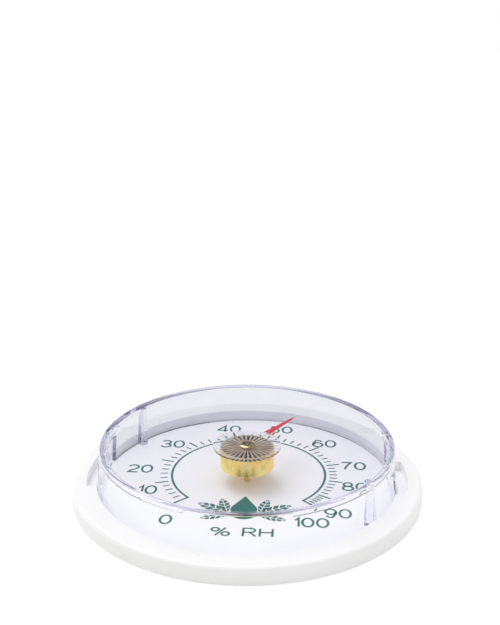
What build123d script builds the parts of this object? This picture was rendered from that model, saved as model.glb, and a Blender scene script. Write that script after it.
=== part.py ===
from build123d import *
from math import cos, radians, sin
import os

os.makedirs("parts", exist_ok=True)

# Dial hygrometer, lying on its back. The dial faces +Z, 12 o'clock is +Y, and the origin is the centre
# of the back face. Sizes are in millimetres, and angles run anticlockwise from 3 o'clock.

# Moulded base
base_diameter = 75.0
base_height = 3.8
base_top_edge_radius = 0.9
base_back_edge_chamfer = 0.3
ring_width = 5.15
ring_wall = 1.4
floor_thickness = 1.2

# Clear cover: a window on a tapered wall that drops into the base
cover_gap = 0.15
cover_draft = 0.8
cover_wall = 1.1
cover_edge_chamfer = 0.35
window_thickness = 1.1
window_gap = 0.27

# Ledge under the window, broken at 12 and 6 o'clock and deeper over the two tabs
ledge_width = 0.7
ledge_height = 0.22
ledge_break_half_angle = 20.0
tab_ledge_width = 1.3
tab_half_angle = 10.3
tab_slot_half_angle = 14.1
tab_bridge_height = 2.63

# Two posts that stiffen the cover's wall, opposite each other
post_angle = 147.0
post_width = 1.7
post_depth = 1.2
post_foot_gap = 0.2

# Pockets in the base outside the tabs, for a fingernail and for air
pocket_half_angle = 13.0
pocket_width = 2.1
pocket_depth = 2.0

# Channel that cores out the ring from behind, crossed by ribs and left solid round pockets and hole
channel_rib_count = 12
channel_rib_width = 1.2
pocket_block_half_angle = 18.0
hole_block_half_angle = 6.0

# Blind hole for a wall pin, at 12 o'clock
hang_hole_radius = 1.5
hang_hole_depth = 2.6

# Printed dial and the key that stops it from turning
dial_thickness = 0.35
dial_gap = 0.15
key_width = 1.6
key_depth = 0.5
key_gap = 0.1

# Brass stem that carries the capsule and turns in a bush in the floor
stem_radius = 0.45
running_gap = 0.05
seat_gap = 0.02
bush_wall = 0.5
bush_flange_width = 0.5
bush_flange_thickness = 0.12
collar_radius = 0.72
collar_height = 0.7
collar_end_play = 0.1
stem_head_radius = 1.15
stem_head_height = 0.85
stem_head_web = 0.15

# Setting disc in a round hollow at the back, and the washer that keeps it stiff to turn
adjuster_radius = 3.6
adjuster_thickness = 0.5
adjuster_inset = 0.1
adjuster_side_gap = 0.8
adjuster_chamfer = 0.12
driver_slot_width = 0.7
driver_slot_depth = 0.25
driver_slot_length = 6.0
washer_inset = 0.4
washer_thickness = 0.18
washer_play = 0.02
washer_gap = 0.1

# Brass capsule
capsule_radius = 5.85
capsule_height = 4.1
capsule_gap = 3.45
capsule_wall = 0.3
capsule_floor = 0.35
capsule_edge_chamfer = 0.25

# Slotted plate that closes the capsule
plate_thickness = 0.3
spigot_wall = 0.3
spigot_depth = 0.35
air_slot_count = 30
air_slot_inner_radius = 1.95
air_slot_rim = 0.35
air_slot_inner_width = 0.15
air_slot_outer_width = 0.52

# Shaft and its two bearings
shaft_radius = 0.3
shaft_gap = 0.03
shaft_end_play = 0.1
shaft_top_reach = 0.2
bearing_wall = 0.22
bearing_flange_radius = 1.0
bearing_flange_thickness = 0.08

# Humidity coil, a flat strip wound in half circles, with a fitting at each end
strip_thickness = 0.18
strip_gap = 0.03
coil_half_turns = 11
coil_foot_clearance = 0.1
coil_top_clearance = 0.4
coil_tail_length = 0.4
collet_radius = 0.9
collet_height = 1.5
collet_slit_width = 0.25
anchor_width = 1.2
anchor_depth = 0.64
anchor_top_step = 0.2

# Clear disc that carries the pointer
disc_overhang = 1.45
disc_thickness = 0.4
disc_bead_width = 0.3
disc_bead_height = 0.1
disc_rib_count = 27
disc_rib_width = 0.22
disc_rib_height = 0.07
disc_washer_radius = 0.9
disc_washer_thickness = 0.1
tongue_reach = 1.9
tongue_width = 2.0
tongue_corner_radius = 0.5

# Domed hub on the clear disc
hub_radius = 1.85
hub_height = 0.4
hub_edge_height = 0.1
hub_dome_rise = 0.08
hub_mouth_radius = 0.85
hub_web = 0.08
hub_rib_gap = 0.25

# Red pointer blade, the angle where it rests, and its two rivets
pointer_rest_angle = 56.0
pointer_length = 10.25
pointer_point_length = 1.4
pointer_root_gap = 0.05
pointer_root_width = 1.5
pointer_tip_width = 0.42
pointer_thickness = 0.2
rivet_radius = 0.2
rivet_head_radius = 0.32
rivet_head_height = 0.1
rivet_inset = 0.5
rivet_spacing = 0.8
rivet_gap = 0.02

# Radii and heights that follow from the sizes above
base_radius = base_diameter / 2
recess_radius = base_radius - ring_width
dial_top = floor_thickness + dial_thickness
channel_inner_radius = recess_radius + ring_wall
channel_outer_radius = base_radius - ring_wall
channel_middle_radius = (channel_inner_radius + channel_outer_radius) / 2
bush_bore_radius = stem_radius + running_gap
bush_radius = bush_bore_radius + bush_wall
bush_flange_radius = bush_radius + bush_flange_width
adjuster_top = adjuster_inset + adjuster_thickness
adjuster_hollow_radius = adjuster_radius + adjuster_side_gap
adjuster_hollow_depth = adjuster_top + washer_play + washer_thickness
bush_flange_foot = adjuster_hollow_depth - bush_flange_thickness
stem_hole_radius = stem_radius + seat_gap
stem_foot = adjuster_inset + driver_slot_depth
capsule_underside = dial_top + capsule_gap
capsule_top = capsule_underside + capsule_height
capsule_floor_top = capsule_underside + capsule_floor
capsule_inner_radius = capsule_radius - capsule_wall
stem_head_top = capsule_floor_top + stem_head_height
stem_bore_floor = capsule_floor_top + stem_head_web
plate_top = capsule_top + plate_thickness
air_slot_outer_radius = capsule_radius - air_slot_rim
shaft_bore_radius = shaft_radius + shaft_gap
shaft_seat_radius = shaft_radius + seat_gap
shaft_foot = stem_bore_floor + shaft_end_play
bearing_radius = shaft_bore_radius + bearing_wall
bearing_hole_radius = bearing_radius + seat_gap
strip_underside = stem_head_top + coil_foot_clearance
strip_width = capsule_top - coil_top_clearance - strip_underside
anchor_outer_radius = capsule_inner_radius - seat_gap
anchor_inner_radius = anchor_outer_radius - anchor_depth
coil_start_radius = collet_radius + strip_gap + strip_thickness / 2
coil_end_radius = anchor_inner_radius - strip_gap - strip_thickness / 2
coil_half_pitch = (coil_end_radius - coil_start_radius) / (coil_half_turns - 1)
disc_washer_foot = plate_top + bearing_flange_thickness + running_gap
disc_underside = disc_washer_foot + disc_washer_thickness
disc_top = disc_underside + disc_thickness
disc_radius = capsule_radius + disc_overhang
tongue_end_radius = disc_radius + tongue_reach
pointer_root_radius = disc_radius + pointer_root_gap
pointer_tip_radius = pointer_root_radius + pointer_length
pointer_top = disc_top + pointer_thickness
hub_top = disc_top + hub_height
window_underside = hub_top + window_gap
cover_top_height = window_underside + window_thickness
cover_foot_radius = recess_radius - cover_gap
cover_top_radius = cover_foot_radius - cover_draft
cover_taper = cover_draft / (cover_top_height - dial_top)
cover_inner_top_radius = cover_top_radius + cover_taper * window_thickness - cover_wall
ledge_underside = window_underside - ledge_height
tab_slot_top = ledge_underside - tab_bridge_height


def arc_band(inner, outer, middle_angle, half_angle):
    """Sketch of a stretch of ring, centred on middle_angle."""
    with BuildSketch() as band:
        with BuildLine():
            inner_arc = CenterArc((0, 0), inner, middle_angle - half_angle, 2 * half_angle)
            outer_arc = CenterArc((0, 0), outer, middle_angle - half_angle, 2 * half_angle)
            Line(inner_arc @ 0, outer_arc @ 0)
            Line(inner_arc @ 1, outer_arc @ 1)
        make_face()
    return band.sketch


def pointer_plane(height):
    """Plane at a height, with its X axis along the pointer at rest."""
    angle = radians(pointer_rest_angle)
    return Plane(origin=(0, 0, height), x_dir=(cos(angle), sin(angle), 0), z_dir=(0, 0, 1))


# Base: a floor inside a broad ring, with a round recess for the dial and the cover
with BuildPart() as base_ring:
    Cylinder(base_radius, base_height, align=(Align.CENTER, Align.CENTER, Align.MIN))
    rim_edges = base_ring.edges().filter_by(GeomType.CIRCLE).sort_by(Axis.Z)
    fillet(rim_edges[-1], radius=base_top_edge_radius)
    chamfer(rim_edges[0], length=base_back_edge_chamfer)
    with BuildSketch(Plane.XY.offset(floor_thickness)):
        Circle(recess_radius)
    extrude(amount=base_height, mode=Mode.SUBTRACT)
    # Key for the dial, at 6 o'clock
    with BuildSketch(Plane.XY.offset(floor_thickness)):
        with Locations((0, -recess_radius)):
            Rectangle(key_width, 2 * key_depth)
    extrude(amount=dial_thickness)
    # Pockets at 3 and 9 o'clock, open to the recess
    with BuildSketch(Plane.XY.offset(base_height - pocket_depth)):
        for side in (0, 180):
            add(arc_band(cover_foot_radius, recess_radius + pocket_width, side, pocket_half_angle))
    extrude(amount=pocket_depth, mode=Mode.SUBTRACT)
    # Channel in the back of the ring, in three stretches, with its ribs left standing
    upper_half = (90 - hole_block_half_angle - pocket_block_half_angle) / 2
    lower_half = 90 - pocket_block_half_angle
    with BuildSketch(Plane.XY):
        for middle, half in (
            (pocket_block_half_angle + upper_half, upper_half),
            (180 - pocket_block_half_angle - upper_half, upper_half),
            (270, lower_half),
        ):
            add(arc_band(channel_inner_radius, channel_outer_radius, middle, half))
        with PolarLocations(channel_middle_radius, channel_rib_count):
            Rectangle(2 * ring_wall + channel_outer_radius - channel_inner_radius,
                      channel_rib_width, mode=Mode.SUBTRACT)
    extrude(amount=base_height - ring_wall, mode=Mode.SUBTRACT)
    # Blind hole for a wall pin
    with BuildSketch(Plane.XY):
        with Locations((0, channel_middle_radius)):
            Circle(hang_hole_radius)
    extrude(amount=hang_hole_depth, mode=Mode.SUBTRACT)
    # Hollow for the setting disc, and the hole for the bush
    with BuildSketch(Plane.XY):
        Circle(adjuster_hollow_radius)
    extrude(amount=adjuster_hollow_depth, mode=Mode.SUBTRACT)
    with BuildSketch(Plane.XY):
        Circle(bush_radius + seat_gap)
    extrude(amount=floor_thickness, mode=Mode.SUBTRACT)
base_ring.part.label = "base_ring"
export_step(base_ring.part, "parts/base_ring.step")

# Dial: a thin printed disc with a notch for the key
with BuildPart() as dial_plate:
    with BuildSketch(Plane.XY.offset(floor_thickness)):
        Circle(recess_radius - dial_gap)
        with Locations((0, -recess_radius)):
            Rectangle(key_width + 2 * key_gap, 2 * (key_depth + key_gap), mode=Mode.SUBTRACT)
        Circle(bush_bore_radius, mode=Mode.SUBTRACT)
    extrude(amount=dial_thickness)
dial_plate.part.label = "dial_plate"
export_step(dial_plate.part, "parts/dial_plate.step")

# Clear cover: window, tapered wall, broken ledge, slotted tabs and two posts
with BuildPart() as clear_cover:
    with BuildSketch(Plane.XZ):
        with BuildLine():
            Polyline(
                (0, cover_top_height),
                (cover_top_radius, cover_top_height),
                (cover_foot_radius, dial_top),
                (cover_foot_radius - cover_wall, dial_top),
                (cover_inner_top_radius, window_underside),
                (0, window_underside),
                close=True,
            )
        make_face()
    revolve(axis=Axis.Z)
    top_edge = clear_cover.edges().filter_by(GeomType.CIRCLE).sort_by(Axis.Z)[-1]
    chamfer(top_edge, length=cover_edge_chamfer)
    # Ledge: a deeper stretch over each tab and plain stretches between the slots and the breaks
    ledge_root_radius = cover_inner_top_radius + cover_wall / 2
    side_half = (90 - ledge_break_half_angle - tab_slot_half_angle) / 2
    side_middle = tab_slot_half_angle + side_half
    tab_ledge_radius = cover_inner_top_radius - tab_ledge_width
    side_ledge_radius = cover_inner_top_radius - ledge_width
    with BuildSketch(Plane.XY.offset(ledge_underside)):
        for side in (0, 180):
            add(arc_band(tab_ledge_radius, ledge_root_radius, side, tab_half_angle))
            for turn in (-side_middle, side_middle):
                add(arc_band(side_ledge_radius, ledge_root_radius, side + turn, side_half))
    extrude(amount=ledge_height)
    # Posts
    post_root_radius = (cover_foot_radius - cover_wall + cover_top_radius) / 2
    post_face_radius = cover_inner_top_radius - post_depth
    with BuildSketch(Plane.XY.offset(dial_top + post_foot_gap)):
        with PolarLocations((post_root_radius + post_face_radius) / 2, 2, start_angle=post_angle):
            Rectangle(post_root_radius - post_face_radius, post_width)
    extrude(amount=window_underside - dial_top - post_foot_gap)
    # Slots that free the tabs, cut up from the foot
    slot_half = (tab_slot_half_angle - tab_half_angle) / 2
    slot_middle = tab_half_angle + slot_half
    with BuildSketch(Plane.XY.offset(dial_top)):
        for side in (0, 180):
            for turn in (-slot_middle, slot_middle):
                add(arc_band(post_face_radius, base_radius, side + turn, slot_half))
    extrude(amount=tab_slot_top - dial_top, mode=Mode.SUBTRACT)
clear_cover.part.label = "clear_cover"
export_step(clear_cover.part, "parts/clear_cover.step")

# Bush: pressed into the floor from behind, under the dial
with BuildPart() as stem_bush:
    with BuildSketch(Plane.XY.offset(bush_flange_foot)):
        Circle(bush_flange_radius)
    extrude(amount=bush_flange_thickness)
    with BuildSketch(Plane.XY.offset(adjuster_hollow_depth)):
        Circle(bush_radius)
    extrude(amount=floor_thickness - adjuster_hollow_depth)
    with BuildSketch(Plane.XY.offset(bush_flange_foot)):
        Circle(bush_bore_radius)
    extrude(amount=floor_thickness, mode=Mode.SUBTRACT)
stem_bush.part.label = "stem_bush"
export_step(stem_bush.part, "parts/stem_bush.step")

# Friction washer, against the roof of the hollow
with BuildPart() as friction_washer:
    with BuildSketch(Plane.XY.offset(adjuster_top + washer_play)):
        Circle(adjuster_radius - washer_inset)
        Circle(bush_flange_radius + washer_gap, mode=Mode.SUBTRACT)
    extrude(amount=washer_thickness)
friction_washer.part.label = "friction_washer"
export_step(friction_washer.part, "parts/friction_washer.step")

# Setting disc, pressed on the stem, with a screwdriver slot
with BuildPart() as setting_disc:
    with BuildSketch(Plane.XY.offset(adjuster_inset)):
        Circle(adjuster_radius)
    extrude(amount=adjuster_thickness)
    chamfer(setting_disc.edges().filter_by(GeomType.CIRCLE), length=adjuster_chamfer)
    with BuildSketch(Plane.XY.offset(adjuster_inset)):
        Circle(stem_hole_radius)
    extrude(amount=adjuster_thickness, mode=Mode.SUBTRACT)
    with BuildSketch(Plane.XY.offset(adjuster_inset)):
        SlotOverall(driver_slot_length, driver_slot_width)
    extrude(amount=driver_slot_depth, mode=Mode.SUBTRACT)
setting_disc.part.label = "setting_disc"
export_step(setting_disc.part, "parts/setting_disc.step")

# Stem: turns in the bush, carries the capsule and holds the lower bearing in its head
with BuildPart() as capsule_stem:
    with BuildSketch(Plane.XZ):
        with BuildLine():
            Polyline(
                (0, stem_foot),
                (stem_radius, stem_foot),
                (stem_radius, capsule_floor_top),
                (stem_head_radius, capsule_floor_top),
                (stem_head_radius, stem_head_top),
                (bearing_hole_radius, stem_head_top),
                (bearing_hole_radius, stem_bore_floor),
                (0, stem_bore_floor),
                close=True,
            )
        make_face()
    revolve(axis=Axis.Z)
capsule_stem.part.label = "capsule_stem"
export_step(capsule_stem.part, "parts/capsule_stem.step")

# Collar on the stem, just above the dial
with BuildPart() as stem_collar:
    with BuildSketch(Plane.XY.offset(dial_top + collar_end_play)):
        Circle(collar_radius)
        Circle(stem_hole_radius, mode=Mode.SUBTRACT)
    extrude(amount=collar_height)
stem_collar.part.label = "stem_collar"
export_step(stem_collar.part, "parts/stem_collar.step")

# Capsule: a drawn cup
with BuildPart() as capsule_cup:
    with BuildSketch(Plane.XY.offset(capsule_underside)):
        Circle(capsule_radius)
    extrude(amount=capsule_height)
    bottom_edge = capsule_cup.edges().filter_by(GeomType.CIRCLE).sort_by(Axis.Z)[0]
    chamfer(bottom_edge, length=capsule_edge_chamfer)
    with BuildSketch(Plane.XY.offset(capsule_floor_top)):
        Circle(capsule_inner_radius)
    extrude(amount=capsule_height, mode=Mode.SUBTRACT)
    with BuildSketch(Plane.XY.offset(capsule_underside)):
        Circle(stem_hole_radius)
    extrude(amount=capsule_floor, mode=Mode.SUBTRACT)
capsule_cup.part.label = "capsule_cup"
export_step(capsule_cup.part, "parts/capsule_cup.step")

# Slotted plate: lies on the cup's rim, with a spigot inside it that the air slots cut through
with BuildPart() as slotted_plate:
    with BuildSketch(Plane.XY.offset(capsule_top)):
        Circle(capsule_radius)
    extrude(amount=plate_thickness)
    with BuildSketch(Plane.XY.offset(capsule_top - spigot_depth)):
        Circle(capsule_inner_radius - seat_gap)
        Circle(capsule_inner_radius - seat_gap - spigot_wall, mode=Mode.SUBTRACT)
    extrude(amount=spigot_depth)
    slot_length = air_slot_outer_radius - air_slot_inner_radius
    with BuildSketch(Plane.XY.offset(plate_top)):
        with PolarLocations(air_slot_inner_radius, air_slot_count):
            with BuildLine():
                Polyline(
                    (0, air_slot_inner_width / 2),
                    (slot_length, air_slot_outer_width / 2),
                    (slot_length, -air_slot_outer_width / 2),
                    (0, -air_slot_inner_width / 2),
                    close=True,
                )
        make_face()
        Circle(bearing_hole_radius)
    extrude(amount=-(plate_thickness + spigot_depth), mode=Mode.SUBTRACT)
slotted_plate.part.label = "slotted_plate"
export_step(slotted_plate.part, "parts/slotted_plate.step")

# Lower bearing, a plain bush in the stem's head
with BuildPart() as lower_bearing:
    with BuildSketch(Plane.XY.offset(stem_bore_floor)):
        Circle(bearing_radius)
        Circle(shaft_bore_radius, mode=Mode.SUBTRACT)
    extrude(amount=stem_head_top - stem_bore_floor)
lower_bearing.part.label = "lower_bearing"
export_step(lower_bearing.part, "parts/lower_bearing.step")

# Upper bearing, a flanged bush in the slotted plate
with BuildPart() as upper_bearing:
    with BuildSketch(Plane.XY.offset(capsule_top)):
        Circle(bearing_radius)
    extrude(amount=plate_thickness)
    with BuildSketch(Plane.XY.offset(plate_top)):
        Circle(bearing_flange_radius)
    extrude(amount=bearing_flange_thickness)
    with BuildSketch(Plane.XY.offset(capsule_top)):
        Circle(shaft_bore_radius)
    extrude(amount=plate_thickness + bearing_flange_thickness, mode=Mode.SUBTRACT)
upper_bearing.part.label = "upper_bearing"
export_step(upper_bearing.part, "parts/upper_bearing.step")

# Humidity coil: each half turn is one arc, and every second one is centred a half pitch to the side.
# The inner end is bent into the collet's slit.
with BuildPart() as humidity_coil:
    with BuildSketch(Plane.XY.offset(strip_underside)):
        with BuildLine():
            for turn in range(coil_half_turns):
                centre = ((turn % 2) * coil_half_pitch, 0)
                radius = coil_start_radius + turn * coil_half_pitch
                start = 180 * (turn % 2)
                inner_face = CenterArc(centre, radius - strip_thickness / 2, start, 180)
                outer_face = CenterArc(centre, radius + strip_thickness / 2, start, 180)
                if turn == 0:
                    Line(inner_face @ 0, outer_face @ 0)
            Line(inner_face @ 1, outer_face @ 1)
        make_face()
        with Locations((coil_start_radius + strip_thickness / 2, 0)):
            Rectangle(coil_tail_length, strip_thickness, align=(Align.MAX, Align.CENTER))
    extrude(amount=strip_width)
humidity_coil.part.label = "humidity_coil"
export_step(humidity_coil.part, "parts/humidity_coil.step")

# Collet: clamps the coil's inner end on the shaft
with BuildPart() as coil_collet:
    with BuildSketch(Plane.XY.offset(strip_underside + (strip_width - collet_height) / 2)):
        Circle(collet_radius)
        Circle(shaft_seat_radius, mode=Mode.SUBTRACT)
        Rectangle(2 * collet_radius, collet_slit_width, align=(Align.MIN, Align.CENTER), mode=Mode.SUBTRACT)
    extrude(amount=collet_height)
coil_collet.part.label = "coil_collet"
export_step(coil_collet.part, "parts/coil_collet.step")

# Anchor: holds the coil's outer end against the cup
with BuildPart() as coil_anchor:
    with BuildSketch(Plane.XY.offset(strip_underside)):
        Circle(anchor_outer_radius)
        with Locations((-anchor_inner_radius, 0)):
            Rectangle(capsule_radius, anchor_width, align=(Align.MAX, Align.CENTER), mode=Mode.INTERSECT)
    extrude(amount=strip_width - anchor_top_step)
coil_anchor.part.label = "coil_anchor"
export_step(coil_anchor.part, "parts/coil_anchor.step")

# Shaft: stands in the lower bearing and ends in the hub's mouth
with BuildPart() as pointer_shaft:
    with BuildSketch(Plane.XY.offset(shaft_foot)):
        Circle(shaft_radius)
    extrude(amount=disc_top + shaft_top_reach - shaft_foot)
pointer_shaft.part.label = "pointer_shaft"
export_step(pointer_shaft.part, "parts/pointer_shaft.step")

# Washer under the clear disc
with BuildPart() as disc_washer:
    with BuildSketch(Plane.XY.offset(disc_washer_foot)):
        Circle(disc_washer_radius)
        Circle(shaft_seat_radius, mode=Mode.SUBTRACT)
    extrude(amount=disc_washer_thickness)
disc_washer.part.label = "disc_washer"
export_step(disc_washer.part, "parts/disc_washer.step")

# Clear disc: fine ribs, a bead round its edge, and a tongue for the pointer
with BuildPart() as pointer_disc:
    with BuildSketch(Plane.XY.offset(disc_underside)):
        Circle(disc_radius)
        Circle(shaft_seat_radius, mode=Mode.SUBTRACT)
    extrude(amount=disc_thickness)
    with BuildSketch(pointer_plane(disc_underside)):
        with Locations((tongue_end_radius, 0)):
            Rectangle(2 * tongue_reach, tongue_width, align=(Align.MAX, Align.CENTER))
    extrude(amount=disc_thickness)
    tongue_corners = pointer_disc.edges().filter_by(Axis.Z).sort_by_distance(
        pointer_plane(disc_underside).from_local_coords((tongue_end_radius, 0, 0)))
    fillet(tongue_corners[0:2], radius=tongue_corner_radius)
    rib_start = hub_radius + hub_rib_gap
    rib_end = disc_radius - disc_bead_width / 2
    with BuildSketch(Plane.XY.offset(disc_top)):
        with PolarLocations((rib_start + rib_end) / 2, disc_rib_count):
            Rectangle(rib_end - rib_start, disc_rib_width)
    extrude(amount=disc_rib_height)
    with BuildSketch(Plane.XY.offset(disc_top)):
        Circle(disc_radius)
        Circle(disc_radius - disc_bead_width, mode=Mode.SUBTRACT)
    extrude(amount=disc_bead_height)
    with BuildSketch(pointer_plane(disc_underside)):
        for place in range(2):
            with Locations((pointer_root_radius + rivet_inset + place * rivet_spacing, 0)):
                Circle(rivet_radius + rivet_gap)
    extrude(amount=disc_thickness, mode=Mode.SUBTRACT)
pointer_disc.part.label = "pointer_disc"
export_step(pointer_disc.part, "parts/pointer_disc.step")

# Hub: a low dome with a countersunk mouth, clamping the disc on the shaft
with BuildPart() as hub_cap:
    with BuildSketch(Plane.XZ):
        with BuildLine():
            Polyline(
                (hub_mouth_radius, hub_top - hub_dome_rise),
                (shaft_seat_radius, disc_top + hub_web),
                (shaft_seat_radius, disc_top),
                (hub_radius, disc_top),
                (hub_radius, disc_top + hub_edge_height),
            )
            ThreePointArc(
                (hub_radius, disc_top + hub_edge_height),
                ((hub_radius + hub_mouth_radius) / 2 + hub_dome_rise, hub_top - hub_dome_rise),
                (hub_mouth_radius, hub_top - hub_dome_rise),
            )
        make_face()
    revolve(axis=Axis.Z)
hub_cap.part.label = "hub_cap"
export_step(hub_cap.part, "parts/hub_cap.step")

# Pointer: a thin tapering blade
with BuildPart() as pointer:
    point_start = pointer_tip_radius - pointer_point_length
    with BuildSketch(pointer_plane(disc_top)):
        with BuildLine():
            Polyline(
                (pointer_root_radius, pointer_root_width / 2),
                (point_start, pointer_tip_width / 2),
                (pointer_tip_radius, 0),
                (point_start, -pointer_tip_width / 2),
                (pointer_root_radius, -pointer_root_width / 2),
                close=True,
            )
        make_face()
        for place in range(2):
            with Locations((pointer_root_radius + rivet_inset + place * rivet_spacing, 0)):
                Circle(rivet_radius + rivet_gap, mode=Mode.SUBTRACT)
    extrude(amount=pointer_thickness)
pointer.part.label = "pointer"
export_step(pointer.part, "parts/pointer.step")

# Rivets: two in one node, headed above the blade and below the tongue
with BuildPart() as pointer_rivets:
    rivet_places = [
        (pointer_root_radius + rivet_inset + place * rivet_spacing, 0) for place in range(2)
    ]
    with BuildSketch(pointer_plane(disc_underside)):
        with Locations(*rivet_places):
            Circle(rivet_radius)
    extrude(amount=pointer_top - disc_underside)
    for head_foot in (disc_underside - rivet_head_height, pointer_top):
        with BuildSketch(pointer_plane(head_foot)):
            with Locations(*rivet_places):
                Circle(rivet_head_radius)
        extrude(amount=rivet_head_height)
pointer_rivets.part.label = "pointer_rivets"
export_step(pointer_rivets.part, "parts/pointer_rivets.step")
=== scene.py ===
# %% [markdown]
# # A dial hygrometer, lying on its back
#
# The real thing is a small household instrument. A coil of two bonded strips, one of which swells in damp
# air, sits in a brass capsule and turns a red pointer over a printed dial. A white moulded base holds the
# dial, and a clear moulded cover drops into the base and keeps the dust off.
#
# The solid model comes from CAD and is loaded as a fixed frame. This file adds what CAD can't say: soft
# edges, finishes, the print on the dial and the light. All lengths in the scene are in metres.

# %% Load the frame
import bpy
import bmesh
from math import atan2, copysign, cos, pi, radians, sin, tan
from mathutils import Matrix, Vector


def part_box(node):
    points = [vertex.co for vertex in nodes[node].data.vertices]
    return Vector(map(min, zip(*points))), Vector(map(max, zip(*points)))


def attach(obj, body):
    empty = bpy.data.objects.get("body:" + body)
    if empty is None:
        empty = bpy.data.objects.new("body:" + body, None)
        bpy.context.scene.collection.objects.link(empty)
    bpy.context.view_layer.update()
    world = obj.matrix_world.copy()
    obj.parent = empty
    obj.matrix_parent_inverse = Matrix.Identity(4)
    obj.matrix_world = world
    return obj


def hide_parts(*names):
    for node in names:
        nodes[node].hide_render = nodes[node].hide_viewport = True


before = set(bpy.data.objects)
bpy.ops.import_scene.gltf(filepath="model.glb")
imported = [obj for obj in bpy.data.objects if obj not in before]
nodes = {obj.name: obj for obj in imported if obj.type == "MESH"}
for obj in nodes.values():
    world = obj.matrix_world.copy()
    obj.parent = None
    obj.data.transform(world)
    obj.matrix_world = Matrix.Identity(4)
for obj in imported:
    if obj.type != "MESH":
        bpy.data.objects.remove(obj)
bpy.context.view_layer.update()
MM = 0.001

# %% [markdown]
# ## Camera
#
# The photograph shows the instrument from low in front. The camera's place was fitted to the outline of the
# base, to the recess and to the rim of the cover: it stands 230 mm from the dial and looks down by 18
# degrees. A 60 mm lens on a 36 mm sensor keeps the near side only a little larger than the far side.

# %% Camera
camera_place = (12.75 * MM, -202.5 * MM, 108.24 * MM)
camera_turn = (radians(71.547), 0.0, radians(3.43))

camera_data = bpy.data.cameras.new("camera")
camera_data.lens = 60.0
camera_data.sensor_fit = "AUTO"
camera_data.sensor_width = 36.0
camera_data.clip_start = 0.01
camera = bpy.data.objects.new("camera", camera_data)
camera.location = camera_place
camera.rotation_euler = camera_turn
bpy.context.scene.collection.objects.link(camera)
bpy.context.scene.camera = camera
bpy.context.scene.view_settings.view_transform = "Standard"
print("camera at", tuple(round(v, 4) for v in camera.location))

# %% [markdown]
# ## A few tools for materials
#
# Every finish here is made of nodes, so it stays sharp at any distance. The helpers below only save typing:
# one adds a node and sets its sockets, one makes a noise pattern that is measured in metres on the piece
# itself, and the others spread a value between two ends, blend two colours, and turn a pattern into a bump.
# Three more join or compare facts about a ray of light, which the clear plastic, the floor and the world
# need.

# %% Add and link nodes
def add_node(tree, kind, links=None, **settings):
    """Add a node, set its sockets and properties, and link what is given in links."""
    node = tree.nodes.new(kind)
    sockets = {socket.name.lower().replace(" ", "_"): socket for socket in node.inputs}
    for name, value in settings.items():
        if name in sockets:
            sockets[name].default_value = value
        else:
            setattr(node, name, value)
    for name, source in (links or {}).items():
        tree.links.new(source, node.inputs[name])
    return node


def new_material(name):
    """An empty material with its output node."""
    material = bpy.data.materials.new(name)
    material.use_nodes = True
    material.node_tree.nodes.clear()
    output = material.node_tree.nodes.new("ShaderNodeOutputMaterial")
    return material, material.node_tree, output


def either(tree, first, second):
    """Yes when either of two yes-or-no answers is yes."""
    return add_node(tree, "ShaderNodeMath", {0: first, 1: second}, operation="MAXIMUM").outputs[0]


def both(tree, first, second):
    """Yes when both answers are yes."""
    return add_node(tree, "ShaderNodeMath", {0: first, 1: second}, operation="MULTIPLY").outputs[0]


def with_number(tree, source, number, operation):
    """Combine a value with a fixed number by one step of maths."""
    node = add_node(tree, "ShaderNodeMath", {0: source}, operation=operation)
    node.inputs[1].default_value = number
    return node.outputs[0]


print("node helpers ready")

# %% Patterns, tones and bumps
noise_low, noise_high = 0.3, 0.7


def noise(tree, size_mm, detail=2.0, squeeze=(1.0, 1.0, 1.0)):
    """Noise with grains of about size_mm, fixed to the piece. Squeeze stretches the grains along an axis."""
    place = add_node(tree, "ShaderNodeTexCoord")
    scaled = add_node(tree, "ShaderNodeMapping", {"Vector": place.outputs["Object"]}, scale=squeeze)
    return add_node(tree, "ShaderNodeTexNoise", {"Vector": scaled.outputs["Vector"]},
                    scale=1000.0 / size_mm, detail=detail)


def spread(tree, source, low, high):
    """Turn a 0 to 1 value into one between low and high."""
    node = add_node(tree, "ShaderNodeMapRange", {"Value": source})
    node.inputs["From Min"].default_value = noise_low
    node.inputs["From Max"].default_value = noise_high
    node.inputs["To Min"].default_value = low
    node.inputs["To Max"].default_value = high
    return node.outputs["Result"]


def two_tone(tree, source, first, second):
    """Blend two colours by a noise value."""
    ramp = add_node(tree, "ShaderNodeValToRGB", {"Fac": source})
    for element, position, colour in zip(ramp.color_ramp.elements, (0.35, 0.65), (first, second)):
        element.position = position
        element.color = (*colour, 1.0)
    return ramp.outputs["Color"]


def dented(tree, source, depth_mm):
    """Turn a pattern into a bump of the given depth."""
    bump = add_node(tree, "ShaderNodeBump", {"Height": source}, strength=1.0)
    bump.inputs["Distance"].default_value = depth_mm * MM
    return bump.outputs["Normal"]


print("patterns spread between", noise_low, "and", noise_high)

# %% [markdown]
# ## White moulded plastic
#
# The base is a glossy white plastic moulding. Up close such a surface is never one flat white: the melt
# leaves very faint cloudy tones, and the polished mould leaves a fine ripple that breaks up reflections. Two
# noises do both jobs, one with grains of centimetres for the tone and one well under a millimetre for the
# ripple and the roughness.

# %% White plastic
cloud_mm = 14.0
rough_spread = 0.05


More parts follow.
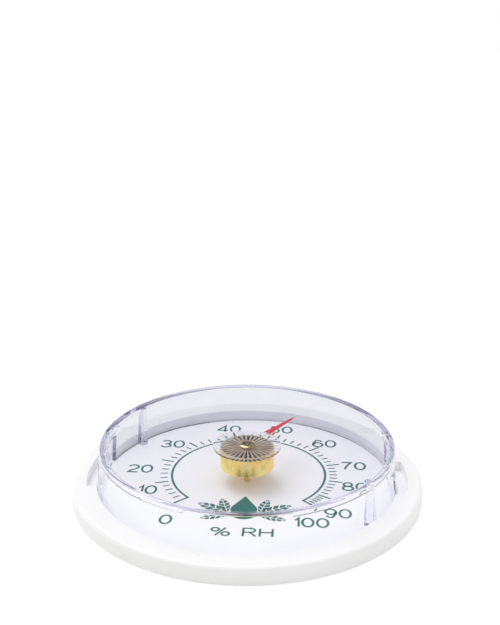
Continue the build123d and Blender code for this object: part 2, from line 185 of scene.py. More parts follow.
def moulded_plastic(name, first, second, rough, ripple_mm=0.004, grain_mm=0.5):
    """Glossy moulded plastic with a cloudy tone and a fine ripple."""
    material, tree, output = new_material(name)
    cloud = noise(tree, cloud_mm)
    grain = noise(tree, grain_mm, detail=3.0)
    shader = add_node(tree, "ShaderNodeBsdfPrincipled", {
        "Base Color": two_tone(tree, cloud.outputs["Fac"], first, second),
        "Roughness": spread(tree, grain.outputs["Fac"], rough - rough_spread, rough + rough_spread),
        "Normal": dented(tree, grain.outputs["Fac"], ripple_mm),
    }, ior=1.5)
    tree.links.new(shader.outputs["BSDF"], output.inputs["Surface"])
    return material


base_white = moulded_plastic("base_white", (0.905, 0.900, 0.895), (0.925, 0.922, 0.920), 0.32)
dial_white = moulded_plastic("dial_white", (0.925, 0.927, 0.930), (0.940, 0.942, 0.945), 0.48,
                             ripple_mm=0.003, grain_mm=0.25)
print("made", base_white.name, "and", dial_white.name)

# %% [markdown]
# ## Clear moulded plastic
#
# The cover and the pointer's disc are clear styrene. It is almost colourless through a thin wall and shows a
# cool lavender where the light runs a long way inside it, along an edge. A colour on the surface would tint
# thin and thick alike, so the tint is put inside, as an absorbing volume.
#
# Glass also throws a shadow that is far too dark when lamps can't see through it. A Light Path switch makes
# the plastic plainly see-through for light on its way from a lamp, which gives the pale shadow of the real
# thing.
#
# Light that gets trapped in an edge and bounces on and on ends as a black line in a render. The same switch
# lets it out after a few bounces, and the edges keep a soft grey and lavender. The price is that they come
# out paler than in life.
#
# The plastic bends light less here than real styrene does. A weaker bend mirrors less of the room, and the
# print under the window stays easier to read.

# %% Clear plastic
trapped_after = 4.5
edge_tint = (0.30, 0.31, 0.62)
mould_ripple_mm = 9.0


def clear_plastic(name, density, ripple_mm, bend):
    """Clear plastic that lets lamps through, with its tint in the volume."""
    material, tree, output = new_material(name)
    ripple = noise(tree, mould_ripple_mm, detail=1.0)
    shader = add_node(tree, "ShaderNodeBsdfPrincipled", {
        "Normal": dented(tree, ripple.outputs["Fac"], ripple_mm),
    }, base_color=(1.0, 1.0, 1.0, 1.0), roughness=0.0, ior=bend, transmission_weight=1.0)
    see_through = add_node(tree, "ShaderNodeBsdfTransparent", color=(0.99, 0.99, 1.0, 1.0))
    path = add_node(tree, "ShaderNodeLightPath")
    lighting = either(tree, path.outputs["Is Shadow Ray"], path.outputs["Is Diffuse Ray"])
    trapped = with_number(tree, path.outputs["Ray Depth"], trapped_after, "GREATER_THAN")
    mix = add_node(tree, "ShaderNodeMixShader", {0: either(tree, lighting, trapped),
                                                 1: shader.outputs["BSDF"],
                                                 2: see_through.outputs["BSDF"]})
    tree.links.new(mix.outputs["Shader"], output.inputs["Surface"])
    inside = add_node(tree, "ShaderNodeVolumeAbsorption", color=(*edge_tint, 1.0), density=density)
    tree.links.new(inside.outputs["Volume"], output.inputs["Volume"])
    return material


cover_clear = clear_plastic("cover_clear", density=44.0, ripple_mm=0.0006, bend=1.33)
disc_clear = clear_plastic("disc_clear", density=12.0, ripple_mm=0.0, bend=1.2)
print("made", cover_clear.name, "and", disc_clear.name)

# %% [markdown]
# ## Brass, steel, coil strip, lacquer and ink
#
# The capsule is drawn brass, and its small fittings are turned. Drawing leaves faint lines along the cup, so
# the recipe takes a squeeze that stretches its grain. The small pieces get a finer, even grain. Metal colour
# comes from its reflections, so the recipe varies the gloss more than the colour.
#
# The strip, the lacquer and the ink are coatings, and the recipe for plastic serves them with other colours.

# %% Metals
tarnish_mm = 2.5
gloss_spread = 0.08
even = (1.0, 1.0, 1.0)
along_z = (1.0, 1.0, 0.02)


def metal(name, first, second, rough, grain_mm, squeeze, groove_mm, metallic=1.0):
    """Metal with fine tool marks. Squeeze stretches the marks along an axis."""
    material, tree, output = new_material(name)
    marks = noise(tree, grain_mm, detail=3.0, squeeze=squeeze)
    cloud = noise(tree, tarnish_mm)
    shader = add_node(tree, "ShaderNodeBsdfPrincipled", {
        "Base Color": two_tone(tree, cloud.outputs["Fac"], first, second),
        "Roughness": spread(tree, marks.outputs["Fac"], rough - gloss_spread, rough + gloss_spread),
        "Normal": dented(tree, marks.outputs["Fac"], groove_mm),
    }, metallic=metallic)
    tree.links.new(shader.outputs["BSDF"], output.inputs["Surface"])
    return material


cup_brass = metal("cup_brass", (1.0, 0.69, 0.18), (1.0, 0.81, 0.28), 0.26, 0.5, along_z, 0.010)
turned_brass = metal("turned_brass", (0.82, 0.60, 0.24), (0.90, 0.70, 0.33), 0.22, 0.2, even, 0.003)
plate_brass = metal("plate_brass", (0.74, 0.60, 0.36), (0.84, 0.70, 0.45), 0.42, 0.2, even, 0.004,
                    metallic=0.45)
steel = metal("steel", (0.55, 0.55, 0.56), (0.64, 0.64, 0.65), 0.28, 0.15, (1.0, 1.0, 0.1), 0.002)
print("made four metals")

# %% Coil strip, lacquer and ink
coil_strip = moulded_plastic("coil_strip", (0.045, 0.028, 0.018), (0.085, 0.055, 0.035), 0.55, 0.01, 0.3)
pointer_red = moulded_plastic("pointer_red", (0.72, 0.004, 0.010), (0.80, 0.010, 0.016), 0.28, 0.002, 0.3)
ink_green = moulded_plastic("ink_green", (0.0, 0.130, 0.105), (0.001, 0.165, 0.135), 0.50, 0.003, 0.12)
print("made coil strip, lacquer and ink")

# %% [markdown]
# ## Give the CAD nodes their finishes
#
# Most solids from CAD have the right shape already, so they stay and only get a finish. A CAD mesh itself is
# never changed. Each node has one material slot, which is filled here by the node's name.

# %% Finishes on the CAD nodes
finishes = {
    base_white: ["base_ring"],
    dial_white: ["dial_plate"],
    turned_brass: ["stem_bush", "setting_disc", "capsule_stem", "stem_collar", "lower_bearing",
                   "upper_bearing", "coil_collet", "coil_anchor", "disc_washer"],
    steel: ["friction_washer", "pointer_shaft"],
    coil_strip: ["humidity_coil"],
    disc_clear: ["pointer_disc"],
    pointer_red: ["pointer", "pointer_rivets"],
}
for finish, names in finishes.items():
    for name in names:
        mesh = nodes[name].data
        mesh.materials.clear()
        mesh.materials.append(finish)
print("finishes on", sum(len(names) for names in finishes.values()), "nodes")

# %% [markdown]
# ## Tools for making pieces
#
# Almost everything on a round instrument is a turned shape. `rounded` takes the corners of a cross-section
# with a radius for each and returns a smooth outline, and `turned` sweeps that outline round the axis, either
# all the way or over a stretch of it. Small radii matter: a real edge catches a thin line of light, and a
# perfectly sharp one looks like a drawing.

# %% Outline with rounded corners
def rounded(corners, steps=4):
    """Outline from corners (x, y, radius), in millimetres, with each corner rounded by an arc."""
    outline = []
    for i, (x, y, radius) in enumerate(corners):
        here = Vector((x, y))
        if radius == 0:
            outline.append(here)
            continue
        back = (Vector(corners[i - 1][:2]) - here).normalized()
        ahead = (Vector(corners[(i + 1) % len(corners)][:2]) - here).normalized()
        half = back.angle(ahead) / 2
        centre = here + (back + ahead).normalized() * radius / sin(half)
        first = here + back * radius / tan(half) - centre
        last = here + ahead * radius / tan(half) - centre
        start = atan2(first.y, first.x)
        swing = (atan2(last.y, last.x) - start + pi) % (2 * pi) - pi
        for k in range(steps + 1):
            angle = start + swing * k / steps
            outline.append(centre + Vector((cos(angle), sin(angle))) * radius)
    return outline


square = [(0, 0, 1), (10, 0, 0), (10, 10, 0), (0, 10, 0)]
print("a square with one rounded corner has", len(rounded(square)), "points")

# %% Turn an outline round the axis
merge_distance = 1e-8
least_edge = 1e-9


def turned(outline, start=0.0, stretch=360.0, steps=288):
    """Mesh of an outline in (radius, height), swept round Z from start over stretch degrees."""
    full = stretch >= 360.0
    mesh = bmesh.new()
    rings = []
    for k in range(steps if full else steps + 1):
        angle = radians(start + stretch * k / steps)
        rings.append([mesh.verts.new((p.x * cos(angle) * MM, p.x * sin(angle) * MM, p.y * MM))
                      for p in outline])
    for k in range(steps):
        here, there = rings[k], rings[(k + 1) % len(rings)]
        for i in range(len(outline)):
            j = (i + 1) % len(outline)
            mesh.faces.new((here[i], there[i], there[j], here[j]))
    if not full:
        mesh.faces.new(rings[0])
        mesh.faces.new(rings[-1][::-1])
    bmesh.ops.remove_doubles(mesh, verts=mesh.verts, dist=merge_distance)
    bmesh.ops.dissolve_degenerate(mesh, edges=mesh.edges, dist=least_edge)
    bmesh.ops.recalc_face_normals(mesh, faces=mesh.faces)
    return mesh


print("sweep ready")

# %% Make an object from a mesh
def as_object(name, mesh, material=None):
    """Turn a bmesh into an object in the scene."""
    data = bpy.data.meshes.new(name)
    mesh.to_mesh(data)
    mesh.free()
    piece = bpy.data.objects.new(name, data)
    bpy.context.scene.collection.objects.link(piece)
    if material is not None:
        data.materials.append(material)
    return piece


def soften(piece, angle=32.0):
    """Smooth shading that keeps flat faces flat and edges above the angle crisp."""
    piece.data.shade_smooth()
    piece.data.set_sharp_from_angle(angle=radians(angle))
    weighted = piece.modifiers.new("weighted", "WEIGHTED_NORMAL")
    weighted.keep_sharp = True
    weighted.weight = 100
    return piece


print("object helpers ready")

# %% [markdown]
# ## The clear cover
#
# The cover is one moulding: a flat window on a slightly tapered wall. Inside, a ledge runs under the window
# with gaps at 12 and 6 o'clock and is deeper over two tabs. The tabs at 3 and 9 o'clock stand between slots
# cut up from the foot, and two posts stiffen the wall.
#
# It could be modelled sector by sector, but that is slow to change. Here the plain shell is turned first.
# Then the ledge and the posts are joined to it and the slots are cut, by booleans. The result takes the place
# of the plain CAD cover. Its ledge is about as deep as the photograph shows. The CAD cover's ledge is
# shallower, so that its collision pieces leave the pointer room to turn.

# %% Sizes of the cover
foot_low, foot_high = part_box("clear_cover")
cover_foot = foot_low.z / MM
cover_top = foot_high.z / MM
foot_radius = foot_high.x / MM
wall_lean = 0.8
wall = 1.1
window = 1.1
under_window = cover_top - window
print("cover from", round(cover_foot, 2), "to", round(cover_top, 2), "mm, foot radius", round(foot_radius, 2))


def wall_radius(height):
    """Outer radius of the cover's wall at a height."""
    return foot_radius - wall_lean / (cover_top - cover_foot) * (height - cover_foot)


# %% Shell of the cover
top_edge, foot_edge, inside_edge = 0.45, 0.15, 0.2
shell_outline = rounded([
    (0.0, cover_top, 0.0),
    (wall_radius(cover_top), cover_top, top_edge),
    (foot_radius, cover_foot, foot_edge),
    (foot_radius - wall, cover_foot, foot_edge),
    (wall_radius(under_window) - wall, under_window, inside_edge),
    (0.0, under_window, 0.0),
], steps=5)
cover = as_object("cover_moulding", turned(shell_outline), cover_clear)
print("shell with", len(cover.data.polygons), "faces")

# %% Ledge, in stretches
inner_top = wall_radius(under_window) - wall
into_wall, into_window = 0.6, 0.5
ledge_depth = 0.8
ledge_edge = 0.12
tab_ledge_width, side_ledge_width = 0.8, 0.35
tab_half = 10.3
side_middle, side_half = 42.05, 27.95
steps_per_degree = 0.8


def ledge_stretch(name, width, middle, half):
    """A stretch of the ledge, sunk into the wall and the window so that they become one."""
    outline = rounded([
        (inner_top + into_wall, under_window + into_window, 0.0),
        (inner_top - width, under_window + into_window, 0.0),
        (inner_top - width, under_window - ledge_depth, ledge_edge),
        (inner_top + into_wall, under_window - ledge_depth, 0.0),
    ], steps=3)
    return as_object(name, turned(outline, middle - half, 2 * half, int(2 * half * steps_per_degree)))


ledges = []
for side in (0, 180):
    ledges.append(ledge_stretch("ledge_tab_%d" % side, tab_ledge_width, side, tab_half))
    for turn in (-1, 1):
        ledges.append(ledge_stretch("ledge_%d_%d" % (side, turn), side_ledge_width,
                                    side + turn * side_middle, side_half))
print(len(ledges), "stretches of ledge")

# %% Posts
post_angle = 147.0
post_back, post_front = inner_top + 0.8, inner_top - 1.2
post_half = 0.85
post_edge = 0.4
post_lift = 0.2


def post(name, angle):
    """A post with rounded front corners, from just above the dial into the window."""
    direction = radians(angle)
    outline = rounded([(post_back, -post_half, 0.0), (post_front, -post_half, post_edge),
                       (post_front, post_half, post_edge), (post_back, post_half, 0.0)], steps=4)
    mesh = bmesh.new()
    ends = []
    for height in (cover_foot + post_lift, under_window + into_window):
        ends.append([mesh.verts.new(((p.x * cos(direction) - p.y * sin(direction)) * MM,
                                     (p.x * sin(direction) + p.y * cos(direction)) * MM,
                                     height * MM)) for p in outline])
    for i in range(len(outline)):
        j = (i + 1) % len(outline)
        mesh.faces.new((ends[0][i], ends[0][j], ends[1][j], ends[1][i]))
    mesh.faces.new(ends[0][::-1])
    mesh.faces.new(ends[1])
    bmesh.ops.recalc_face_normals(mesh, faces=mesh.faces)
    return as_object(name, mesh)


posts = [post("post_%d" % angle, angle) for angle in (post_angle, post_angle + 180)]
print(len(posts), "posts")

# %% Slots beside the tabs
slot_inner, slot_outer = 28.6, 34.0
slot_top = 7.85
slot_middle, slot_half = 12.2, 1.9
past_foot = 1.0


def slot_cutter(name, middle):
    """A cutter for one slot, open below the foot."""
    outline = rounded([(slot_inner, cover_foot - past_foot, 0.0), (slot_outer, cover_foot - past_foot, 0.0),
                       (slot_outer, slot_top, 0.0), (slot_inner, slot_top, 0.0)])
    return as_object(name, turned(outline, middle - slot_half, 2 * slot_half, 6))


cutters = [slot_cutter("slot_%d_%d" % (side, turn), side + turn * slot_middle)
           for side in (0, 180) for turn in (-1, 1)]
print(len(cutters), "slots")

# %% Join and cut
def combine(piece, others, operation):
    """Apply exact booleans to piece, one for each other object, and delete the others."""
    for other in others:
        step = piece.modifiers.new("step", "BOOLEAN")
        step.operation = operation
        step.solver = "EXACT"
        step.object = other
    bpy.context.view_layer.update()
    made = bpy.data.meshes.new_from_object(piece.evaluated_get(bpy.context.evaluated_depsgraph_get()))
    piece.modifiers.clear()
    piece.data = made
    for other in others:
        bpy.data.objects.remove(other)


combine(cover, ledges + posts, "UNION")
combine(cover, cutters, "DIFFERENCE")
soften(cover)
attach(cover, "cover")
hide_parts("clear_cover")
print("cover with", len(cover.data.polygons), "faces")

# %% [markdown]
# ## The brass cup
#
# The cup is drawn from sheet, so its lower edge is a soft radius instead of a cut corner. That radius carries
# the bright line at the bottom of the capsule. It is turned from one outline, with the sizes of the CAD cup.

# %% Brass cup
cup_low, cup_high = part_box("capsule_cup")
cup_radius = cup_high.x / MM
cup_foot, cup_top = cup_low.z / MM, cup_high.z / MM
cup_bore = 0.48
cup_wall, cup_floor = 0.3, 0.35
drawn_edge, lip_edge, inner_edge = 0.4, 0.04, 0.1
cup_outline = rounded([
    (cup_bore, cup_foot, 0.0),
    (cup_radius, cup_foot, drawn_edge),
    (cup_radius, cup_top, lip_edge),
    (cup_radius - cup_wall, cup_top, lip_edge),
    (cup_radius - cup_wall, cup_foot + cup_floor, inner_edge),
    (cup_bore, cup_foot + cup_floor, 0.0),
], steps=5)
cup = as_object("capsule_shell", turned(cup_outline, steps=144), cup_brass)
soften(cup)
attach(cup, "capsule")
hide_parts("capsule_cup")
print("cup", round(2 * cup_radius, 2), "mm across,", round(cup_top - cup_foot, 2), "mm tall")

# %% [markdown]
# ## The slotted plate
#
# A stamped plate closes the cup and lets the room's air reach the coil. Its slots widen towards the rim, so
# what is left between them are narrow ribs. The plate is built the other way round from a stamping: a hub, a
# rim and thirty ribs, which gives every rib a clean edge without a single boolean.

# %% Hub and rim of the plate
plate_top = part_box("slotted_plate")[1].z / MM
plate_thickness = 0.3
plate_foot = plate_top - plate_thickness
plate_edge = 0.06
plate_rings = ((0.62, 2.0), (5.52, 5.85))
plate = bmesh.new()
for inner, outer in plate_rings:
    ring = turned(rounded([(inner, plate_top, 0.0), (outer, plate_top, plate_edge),
                           (outer, plate_foot, 0.0), (inner, plate_foot, 0.0)]), steps=120)
    shared = bpy.data.meshes.new("ring")
    ring.to_mesh(shared)
    ring.free()
    plate.from_mesh(shared)
    bpy.data.meshes.remove(shared)
print("hub and rim with", len(plate.faces), "faces")

# %% Ribs of the plate
rib_count = 30
rib_corners = ((1.9, -0.11), (5.6, -0.255), (5.6, 0.255), (1.9, 0.11))
rib_levels = ((plate_foot, 0.0), (plate_top - 0.05, 0.0), (plate_top - 0.003, 0.045))


def rib(mesh, angle):
    """A rib along an angle. Its corners are (radius, offset), and its levels are (height, bevel)."""
    run, across = Vector((cos(angle), sin(angle))), Vector((-sin(angle), cos(angle)))
    levels = []
    for height, bevel in rib_levels:
        corners = [run * radius + across * (offset - copysign(bevel, offset))
                   for radius, offset in rib_corners]
        levels.append([mesh.verts.new((*(corner * MM), height * MM)) for corner in corners])
    for lower, upper in zip(levels, levels[1:]):
        for i in range(4):
            mesh.faces.new((lower[i], lower[(i + 1) % 4], upper[(i + 1) % 4], upper[i]))
    mesh.faces.new(levels[0][::-1])
    mesh.faces.new(levels[-1])


for k in range(rib_count):
    rib(plate, 2 * pi * k / rib_count)
bmesh.ops.recalc_face_normals(plate, faces=plate.faces)
plate = as_object("capsule_grille", plate, plate_brass)
soften(plate)
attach(plate, "capsule")
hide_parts("slotted_plate")
print("plate with", rib_count, "ribs at", round(plate_top, 2), "mm")

# %% [markdown]
# ## The hub
#
# A small brass dome clamps the clear disc on the shaft. Its countersunk mouth looks almost black in the
# photograph. One outline makes both, and the faces inside the mouth then get a very dark, dull brass, which
# is painted shade for the hollow of the mouth.

# %% Hub
hub_low, hub_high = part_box("hub_cap")
hub_foot, hub_top = hub_low.z / MM, hub_high.z / MM
hub_bore, hub_radius, hub_skirt, crown_radius = 0.32, 1.85, 0.2, 1.35
mouth_radius, mouth_base, mouth_floor = 1.05, 0.50, 0.05
skirt_edge, crown_edge, mouth_edge = 0.12, 0.25, 0.03
hair = 0.01
# Painted shade: a near-black brass that darkens the inside of the countersunk mouth.
dull_brass = metal("dull_brass", (0.10, 0.07, 0.035), (0.16, 0.11, 0.055), 0.5, 0.1, even, 0.01,
                   metallic=0.6)
hub_outline = rounded([
    (hub_bore, hub_foot, 0.0),
    (hub_radius, hub_foot, 0.0),
    (hub_radius, hub_foot + hub_skirt, skirt_edge),
    (crown_radius, hub_top, crown_edge),
    (mouth_radius, hub_top, mouth_edge),
    (mouth_base, hub_foot + mouth_floor, 0.0),
    (hub_bore, hub_foot + mouth_floor, 0.0),
], steps=5)
hub = as_object("hub_dome", turned(hub_outline, steps=96), turned_brass)
hub.data.materials.append(dull_brass)
# The faces inside the mouth take the painted shade.
for face in hub.data.polygons:
    middle = face.center
    if middle.xy.length < (mouth_radius - 2 * hair) * MM and middle.z > (hub_foot + hair) * MM:
        face.material_index = 1
soften(hub)
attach(hub, "needle")
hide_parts("hub_cap")
print("hub", round(hub_top - hub_foot, 2), "mm tall")

# %% [markdown]
# ## Print on the dial
#
# The dial is printed in one green ink. Print has almost no thickness, so each mark is a thin sheet laid a
# hundredth of a millimetre above the plastic. Marks that are sheets keep crisp edges at any zoom, where a
# painted texture would blur.
#
# The pen below draws a line of a given width along points. All digits and signs are written as a few strokes
# with it, in a plain thin style of their own, so no font file is needed.

# %% Pen for the print
ink_lift = 0.012
ink_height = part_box("dial_plate")[1].z / MM + ink_lift
sharpest_corner = 0.35


def pen_line(mesh, points, width, closed=False):
    """Lay a flat ribbon of the given width along points, all in millimetres."""
    points = [Vector(p) for p in points]
    count = len(points)
    left, right = [], []
    for i, here in enumerate(points):
        before = points[i - 1] if (i > 0 or closed) else None
        after = points[(i + 1) % count] if (i < count - 1 or closed) else None
        runs = [(b - a).normalized() for a, b in ((before, here), (here, after))
                if a is not None and b is not None]
        normals = [Vector((-run.y, run.x)) for run in runs]
        middle = sum(normals, Vector((0.0, 0.0))).normalized()
        reach = width / 2 / max(sharpest_corner, middle.dot(normals[0]))
        left.append(mesh.verts.new(((here + middle * reach) * MM).to_3d()))
        right.append(mesh.verts.new(((here - middle * reach) * MM).to_3d()))
    for i in range(count if closed else count - 1):
        j = (i + 1) % count
        mesh.faces.new((left[i], right[i], right[j], left[j]))


def arc_points(centre, rx, ry, start, end, steps=20):
    """Points on an ellipse's arc, in degrees."""
    return [(centre[0] + rx * cos(radians(start + (end - start) * k / steps)),
             centre[1] + ry * sin(radians(start + (end - start) * k / steps))) for k in range(steps + 1)]


def printed(name, mesh):
    """Put a flat mesh on the dial as a sheet of ink that moves with the base."""
    for vertex in mesh.verts:
        vertex.co.z = ink_height * MM
    bmesh.ops.recalc_face_normals(mesh, faces=mesh.faces)
    for face in mesh.faces:
        if face.normal.z < 0:
            face.normal_flip()
    piece = as_object(name, mesh, ink_green)
    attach(piece, "base")
    return piece


print("ink lies at", round(ink_height, 3), "mm")

# %% [markdown]
# ## The scale
#
# Eleven long ticks stand at the tens, at uneven steps, because a coil doesn't turn evenly with damp. Four
# short ticks divide each step.
#
# On a real dial the arc runs round the pointer's shaft. In the photograph's lower picture it seems to lie
# further back. The arc's centre and radius were fitted to that picture, so the centre is 3.4 mm from the
# shaft. The view from the camera fits, but the pointer doesn't read true.

# %% Scale arc and ticks
arc_centre = (0.1, 3.4)
arc_radius = 16.8
arc_steps = 180
line_width = 0.50
tick_gap = 0.95
long_reach, long_width = 3.85, 0.46
short_reach, short_width = 2.55, 0.38
ten_angles = [224.1, 195.9, 164.9, 135.6, 103.5, 72.4, 41.7, 15.2, -8.6, -30.4, -43.8]


def tick(mesh, angle, inner, outer, width):
    """A tick along a radius of the scale's own centre."""
    run = Vector((cos(radians(angle)), sin(radians(angle))))
    middle = Vector(arc_centre)
    pen_line(mesh, [middle + run * inner, middle + run * outer], width)


scale = bmesh.new()
pen_line(scale, arc_points(arc_centre, arc_radius, arc_radius, ten_angles[-1], ten_angles[0], arc_steps),
         line_width)
for angle in ten_angles:
    closes_arc = angle in (ten_angles[0], ten_angles[-1])
    start = -line_width / 2 if closes_arc else tick_gap
    tick(scale, angle, arc_radius + start, arc_radius + long_reach, long_width)
for low, high in zip(ten_angles, ten_angles[1:]):
    for part in range(1, 5):
        angle = low + (high - low) * part / 5
        tick(scale, angle, arc_radius + tick_gap, arc_radius + short_reach, short_width)
printed("dial_scale", scale)
print("scale with", len(ten_angles), "long ticks and", 4 * (len(ten_angles) - 1), "short ones")

# %% [markdown]
# ## Numerals
#
# Each digit is a few strokes in a box one unit high. A stroke is a row of points and a note whether it closes
# on itself. The same strokes serve every size, because `write` scales them.

# %% Strokes of the digits
digit_strokes = {
    "0": [(arc_points((0.31, 0.5), 0.31, 0.5, 90, 450, 36)[:-1], True)],
    "1": [([(0.0, 0.76), (0.14, 0.83), (0.23, 1.0), (0.23, 0.0)], False)],
    "2": [(arc_points((0.30, 0.71), 0.29, 0.29, 170, -25, 16)
           + [(0.42, 0.42), (0.12, 0.20), (0.02, 0.0), (0.61, 0.0)], False)],
    "3": [(arc_points((0.30, 0.75), 0.26, 0.25, 160, -80, 16) + [(0.26, 0.51)], False),
          ([(0.26, 0.51)] + arc_points((0.30, 0.25), 0.31, 0.26, 80, -165, 18), False)],
    "4": [([(0.47, 0.0), (0.47, 1.0), (0.0, 0.30), (0.0, 0.25), (0.65, 0.25)], False)],
    "5": [([(0.56, 1.0), (0.13, 1.0), (0.05, 0.48)] + arc_points((0.29, 0.32), 0.30, 0.32, 135, -160, 20),
           False)],
    "6": [([(0.57, 0.80)] + arc_points((0.31, 0.70), 0.24, 0.30, 30, 120, 8)
           + arc_points((0.36, 0.42), 0.36, 0.42, 135, 200, 8), False),
          (arc_points((0.31, 0.31), 0.30, 0.31, 0, 360, 28)[:-1], True)],
    "7": [([(0.0, 1.0), (0.60, 1.0), (0.38, 0.62), (0.24, 0.28), (0.20, 0.0)], False)],
    "8": [(arc_points((0.31, 0.76), 0.25, 0.24, 0, 360, 26)[:-1], True),
          (arc_points((0.31, 0.26), 0.31, 0.27, 0, 360, 28)[:-1], True)],
    "9": [(arc_points((0.31, 0.69), 0.30, 0.31, 0, 360, 28)[:-1], True),
          ([(0.05, 0.20)] + arc_points((0.31, 0.30), 0.24, 0.30, 210, 300, 8)
           + arc_points((0.26, 0.58), 0.36, 0.42, -45, 20, 8), False)],
}
sign_strokes = {
    "%": [(arc_points((0.20, 0.76), 0.19, 0.23, 0, 360, 22)[:-1], True),
          (arc_points((0.74, 0.24), 0.19, 0.23, 0, 360, 22)[:-1], True),
          ([(0.72, 1.0), (0.22, 0.0)], False)],
    "R": [([(0.0, 0.0), (0.0, 1.0), (0.36, 1.0)] + arc_points((0.36, 0.75), 0.24, 0.25, 90, -90, 12)
           + [(0.0, 0.50)], False), ([(0.34, 0.50), (0.64, 0.0)], False)],
    "H": [([(0.0, 0.0), (0.0, 1.0)], False), ([(0.64, 0.0), (0.64, 1.0)], False),
          ([(0.0, 0.52), (0.64, 0.52)], False)],
}
print(len(digit_strokes), "digits and", len(sign_strokes), "signs")

# %% Write a word with the pen
strokes = {**digit_strokes, **sign_strokes}
usual_width = 0.62
widths = {"1": 0.23, "%": 0.93, " ": 0.28, "R": 0.64, "H": 0.64}
letter_gap = 0.21


def write(mesh, word, centre, height, stretch, width):
    """Write a word of strokes centred on a point. Height runs from pen line to pen line."""
    advance = [widths.get(letter, usual_width) for letter in word]
    total = sum(advance) + letter_gap * (len(word) - 1)
    x = -total / 2
    for letter, step in zip(word, advance):
        for points, closed in strokes.get(letter, []):
            placed = [(centre[0] + (x + p[0]) * height * stretch, centre[1] + (p[1] - 0.5) * height)
                      for p in points]
            pen_line(mesh, placed, width, closed)
        x += step + letter_gap


print("pen writes", len(strokes), "kinds of letter")

# %% Numerals and the unit mark
numeral_style = {"height": 3.35, "stretch": 1.06, "width": 0.50}
unit_style = {"height": 3.0, "stretch": 1.3, "width": 0.46}
unit_place = (0.2, -20.5)
numeral_places = {
    "0": (-15.5, -16.4), "10": (-21.0, -5.4), "20": (-24.0, 4.2), "30": (-18.4, 17.0),
    "40": (-5.95, 26.0), "50": (6.5, 26.2), "60": (16.8, 19.2), "70": (23.2, 8.2),
    "80": (23.2, -1.5), "90": (19.3, -12.0), "100": (13.9, -16.0),
}
numerals = bmesh.new()
for word, place in numeral_places.items():
    write(numerals, word, place, **numeral_style)
printed("dial_numerals", numerals)

unit_mark = bmesh.new()
write(unit_mark, "% RH", unit_place, **unit_style)
printed("dial_unit_mark", unit_mark)
print(len(numeral_places), "numerals and the unit mark")

# %% [markdown]
# ## A drop and two sprigs
#
# Above the unit mark there is a small green motif, a drop between two sprigs of leaves, which says moisture
# without words. Each leaf is a row of slanted cells on both sides of its midrib, and the bare dial shows
# between them as veins.

# %% Leaves
leaf_cells = 5
half_vein = 0.09
gap_before, gap_after = 0.015, 0.03
lean = 0.10
leaf_tip = 0.99
fullness = 0.75


def leaf(mesh, foot, angle, length, breadth):
    """A veined leaf from its foot along an angle."""
    run = Vector((cos(radians(angle)), sin(radians(angle))))
    across = Vector((-run.y, run.x))
    for side in (-1, 1):
        for cell in range(leaf_cells):
            start, end = cell / leaf_cells + gap_before, (cell + 1) / leaf_cells - gap_after
            ring = [(start, half_vein), (end, half_vein)]
            for k in range(5):
                t = min(end + lean - k * (end - start) / 4, leaf_tip)
                ring.append((t, max(half_vein, breadth / 2 * sin(pi * t) ** fullness)))
            points = [Vector(foot) + run * (t * length) + across * (side * reach) for t, reach in ring]
            mesh.faces.new([mesh.verts.new((point * MM).to_3d()) for point in points])


print("each leaf has", 2 * leaf_cells, "cells")

# %% Drop, and the whole motif
drop_roundness = 0.33


def drop(mesh, centre, height):
    """A water drop with its point up."""
    radius = height * drop_roundness
    middle = Vector((centre[0], centre[1] - height / 2 + radius))
    outline = [middle + Vector((0.0, height - radius))]
    outline += [middle + Vector(p) for p in arc_points((0, 0), radius, radius, 28, -208, 40)]
    face = mesh.faces.new([mesh.verts.new((point * MM).to_3d()) for point in outline])
    bmesh.ops.triangulate(mesh, faces=[face])


drop_middle, drop_height = (0.1, -11.3), 8.4
sprig_reach, sprig_foot = 3.3, -13.9
leaves = ((74, 5.8, 2.2), (28, 7.4, 2.5), (-16, 5.8, 2.0))
motif = bmesh.new()
drop(motif, drop_middle, drop_height)
for side in (-1, 1):
    foot = (drop_middle[0] + side * sprig_reach, sprig_foot)
    for angle, length, breadth in leaves:
        leaf(motif, foot, angle if side > 0 else 180 - angle, length, breadth)
printed("dial_motif", motif)
print("motif with", 2 * len(leaves), "leaves")

# %% [markdown]
# ## Floor and light
#
# A product shot like this is made on a white sweep with large soft lamps. The floor stays a plain pale
# surface for the light that bounces on it, so that the object's underside is lit as it would be, and a Light
# Path switch lets the camera see it as white, with the object's own faint shadow left on it.
#
# The world gives the even fill. Seen in metal and in the clear cover, a studio isn't white all round: the
# sweep is white up to a little above the table, and the room over it is dimmer. So the flat window mirrors
# little light towards the camera, more of the print shows through it, and the edges get some grey.

# %% Floor
floor_reach = 1.2
white_share = 0.75
white_strength = 1.12
plain_white = (1.0, 1.0, 1.0, 1.0)

floor_mesh = bmesh.new()
corners = [floor_mesh.verts.new((x * floor_reach, y * floor_reach, 0.0))
           for x, y in ((-1, -1), (1, -1), (1, 1), (-1, 1))]
floor_mesh.faces.new(corners)
floor_finish, tree, output = new_material("floor_white")
grain = noise(tree, 3.0)
pale = add_node(tree, "ShaderNodeBsdfDiffuse", {
    "Color": two_tone(tree, grain.outputs["Fac"], (0.80, 0.80, 0.80), (0.82, 0.82, 0.82))})
white = add_node(tree, "ShaderNodeEmission", color=plain_white, strength=white_strength)
path = add_node(tree, "ShaderNodeLightPath")
seen = either(tree, path.outputs["Is Camera Ray"], path.outputs["Is Glossy Ray"])
seen = either(tree, seen, path.outputs["Is Transmission Ray"])
share = with_number(tree, seen, white_share, "MULTIPLY")
mix = add_node(tree, "ShaderNodeMixShader", {0: share, 1: pale.outputs["BSDF"],
                                             2: white.outputs["Emission"]})
tree.links.new(mix.outputs["Shader"], output.inputs["Surface"])
floor = as_object("floor", floor_mesh, floor_finish)
print("floor", 2 * floor_reach, "m wide")

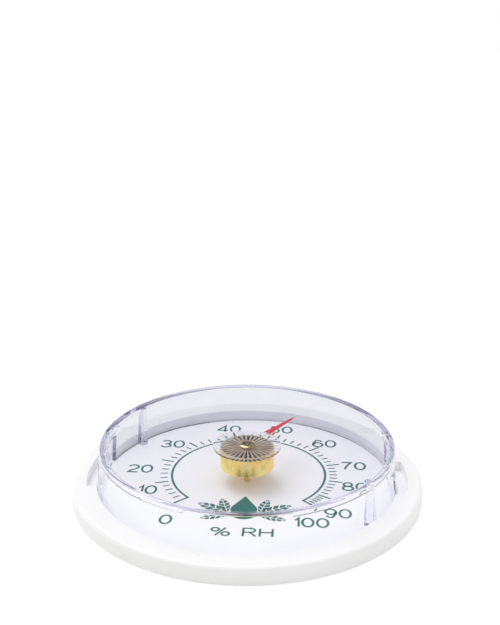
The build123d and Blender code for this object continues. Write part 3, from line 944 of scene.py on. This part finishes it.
# %% World
white_below, dim_above = 0.10, 0.32
room_colour = (0.24, 0.24, 0.32, 1.0)
fill_strength = 0.86

world = bpy.data.worlds.new("studio")
bpy.context.scene.world = world
world.use_nodes = True
tree = world.node_tree
tree.nodes.clear()
place = add_node(tree, "ShaderNodeTexCoord")
split = add_node(tree, "ShaderNodeSeparateXYZ", {"Vector": place.outputs["Generated"]})
height = add_node(tree, "ShaderNodeMapRange", {"Value": split.outputs["Z"]})
height.interpolation_type = "SMOOTHSTEP"
height.inputs["From Min"].default_value = white_below
height.inputs["From Max"].default_value = dim_above
room_tone = add_node(tree, "ShaderNodeMix", {"Factor": height.outputs["Result"]}, data_type="RGBA")
room_tone.inputs["A"].default_value = plain_white
room_tone.inputs["B"].default_value = room_colour
path = add_node(tree, "ShaderNodeLightPath")
mirrored = either(tree, path.outputs["Is Glossy Ray"], path.outputs["Is Transmission Ray"])
first_hit = with_number(tree, path.outputs["Diffuse Depth"], 0.5, "LESS_THAN")
fill = add_node(tree, "ShaderNodeBackground", color=plain_white, strength=fill_strength)
room = add_node(tree, "ShaderNodeBackground", {"Color": room_tone.outputs[2]}, strength=1.0)
backdrop = add_node(tree, "ShaderNodeBackground", color=plain_white, strength=1.0)
lit = add_node(tree, "ShaderNodeMixShader", {0: both(tree, mirrored, first_hit),
                                             1: fill.outputs["Background"],
                                             2: room.outputs["Background"]})
final = add_node(tree, "ShaderNodeMixShader", {0: path.outputs["Is Camera Ray"], 1: lit.outputs["Shader"],
                                               2: backdrop.outputs["Background"]})
output = tree.nodes.new("ShaderNodeOutputWorld")
tree.links.new(final.outputs["Shader"], output.inputs["Surface"])
print("the mirrored room dims between", white_below, "and", dim_above)

# %% Lamp
lamp_place = Vector((-0.35, 0.30, 0.90))

lamp_data = bpy.data.lights.new("key_lamp", "AREA")
lamp_data.size = 0.6
lamp_data.energy = 3.6
lamp = bpy.data.objects.new("key_lamp", lamp_data)
lamp.location = lamp_place
lamp.rotation_euler = (-lamp_place).to_track_quat("-Z", "Y").to_euler()
bpy.context.scene.collection.objects.link(lamp)
print("one soft lamp of", lamp_data.energy, "W,", round(lamp_place.length, 2), "m away")

# %% End
print("scene script finished")
